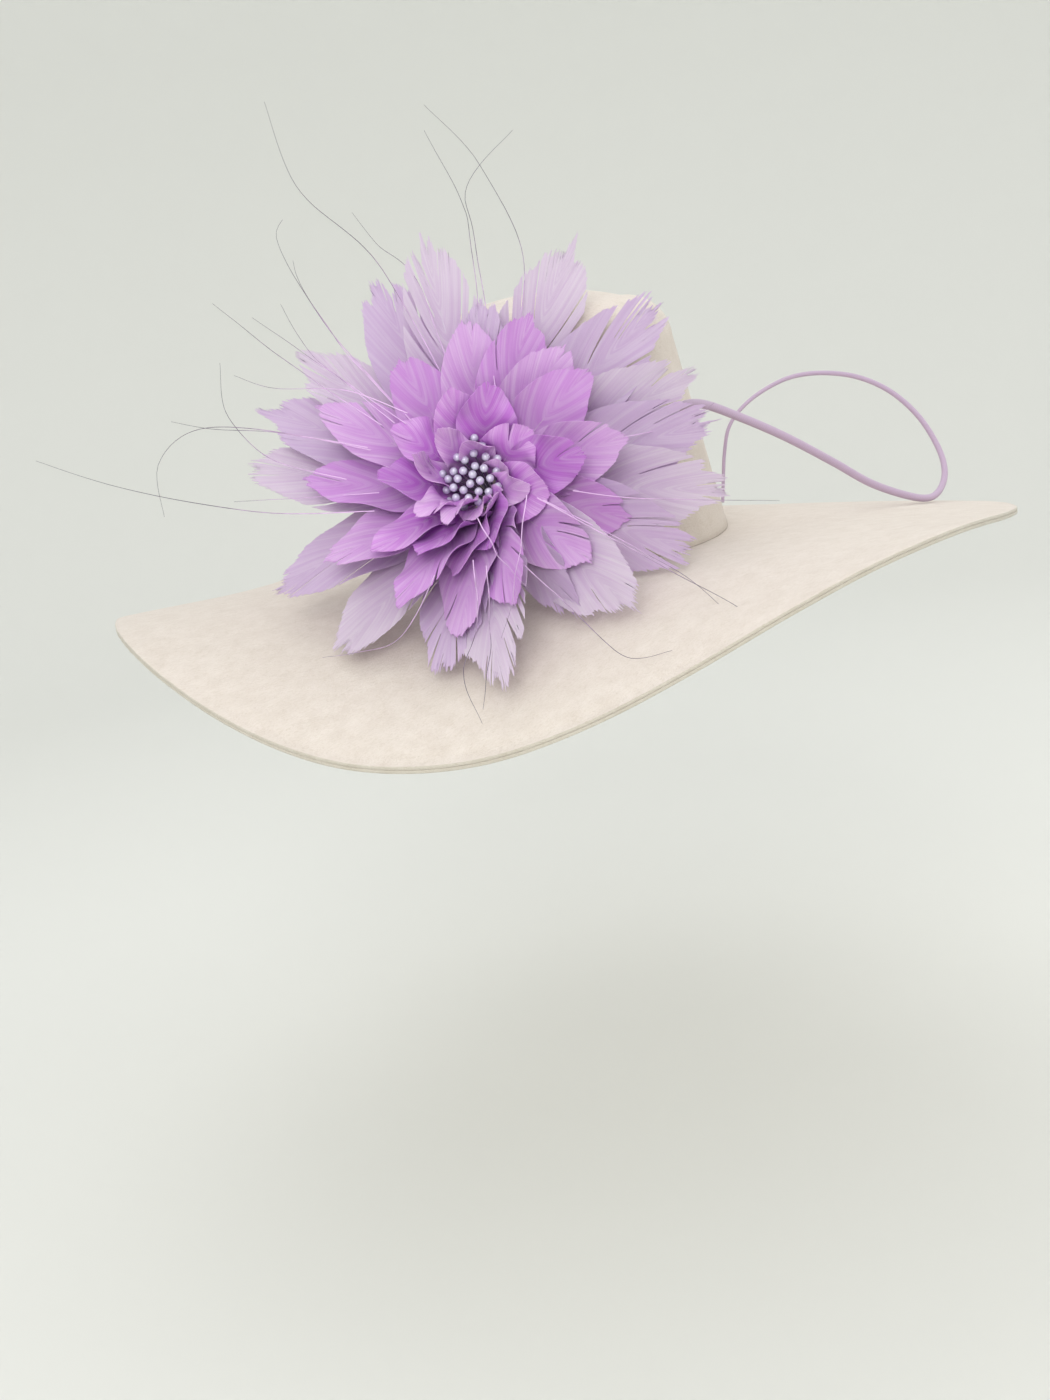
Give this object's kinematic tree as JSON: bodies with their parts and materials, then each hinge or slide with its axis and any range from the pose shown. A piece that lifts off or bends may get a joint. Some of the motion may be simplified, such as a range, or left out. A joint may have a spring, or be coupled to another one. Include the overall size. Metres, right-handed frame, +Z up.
{
  "type": "brimmed hat with feather flower",
  "caption": "Wide waved felt brim and oval crown with a layered feather flower, pearl stamens, a looped wound quill and fine feather filaments.",
  "frame": {"origin": "centre of the oval head opening, level with the foot of the crown", "axes": "+Z up the crown, -Y towards the wearer's front, -X towards the wearer's right; the crown's long axis lies along Y"},
  "size_m": [0.5161, 0.496, 0.3032],
  "materials": {
    "ivory_felt": "matt wool felt",
    "under_felt": "matt wool felt",
    "base_felt": "stiffened felt",
    "edge_wire": "drawn",
    "head_ribbon": "ribbed petersham",
    "sewing_thread": "spun thread",
    "binding_thread": "spun thread",
    "stamen_thread": "waxed thread",
    "pearl": "pearl lacquer",
    "quill_core": "horn",
    "quill_thread": "wound silk thread",
    "filament": "stripped feather hair",
    "outer_feather": "dyed feather",
    "middle_feather": "dyed feather",
    "inner_feather": "dyed feather",
    "centre_feather": "dyed feather"
  },
  "bodies": {
    "root": {"crown": "ivory_felt", "brim_upper": "ivory_felt", "brim_lower": "under_felt", "brim_wire": "edge_wire", "wire_joiner": "edge_wire", "head_ribbon": "head_ribbon", "head_stitches": "sewing_thread", "flower_base": "base_felt", "flower_binding": "binding_thread", "base_stitches": "sewing_thread", "stamen_threads": "stamen_thread", "stamen_pearls": "pearl", "quill_core": "quill_core", "quill_wrap": "quill_thread", "quill_ties": "binding_thread", "filaments": "filament", "centre_petals": "centre_feather", "outer_feather_01": "outer_feather", "outer_feather_02": "outer_feather", "outer_feather_03": "outer_feather", "outer_feather_04": "outer_feather", "outer_feather_05": "outer_feather", "outer_feather_06": "outer_feather", "outer_feather_07": "outer_feather", "outer_feather_08": "outer_feather", "outer_feather_09": "outer_feather", "outer_feather_10": "outer_feather", "outer_feather_11": "outer_feather", "outer_feather_12": "outer_feather", "outer_feather_13": "outer_feather", "outer_feather_14": "outer_feather", "outer_feather_15": "outer_feather", "outer_feather_16": "outer_feather", "outer_feather_17": "outer_feather", "outer_feather_18": "outer_feather", "middle_feather_01": "middle_feather", "middle_feather_02": "middle_feather", "middle_feather_03": "middle_feather", "middle_feather_04": "middle_feather", "middle_feather_05": "middle_feather", "middle_feather_06": "middle_feather", "middle_feather_07": "middle_feather", "middle_feather_08": "middle_feather", "middle_feather_09": "middle_feather", "middle_feather_10": "middle_feather", "middle_feather_11": "middle_feather", "middle_feather_12": "middle_feather", "middle_feather_13": "middle_feather", "middle_feather_14": "middle_feather", "inner_petal_01": "inner_feather", "inner_petal_02": "inner_feather", "inner_petal_03": "inner_feather", "inner_petal_04": "inner_feather", "inner_petal_05": "inner_feather", "inner_petal_06": "inner_feather", "inner_petal_07": "inner_feather", "inner_petal_08": "inner_feather", "inner_petal_09": "inner_feather", "inner_petal_10": "inner_feather", "inner_petal_11": "inner_feather"}
  },
  "joints": []
}
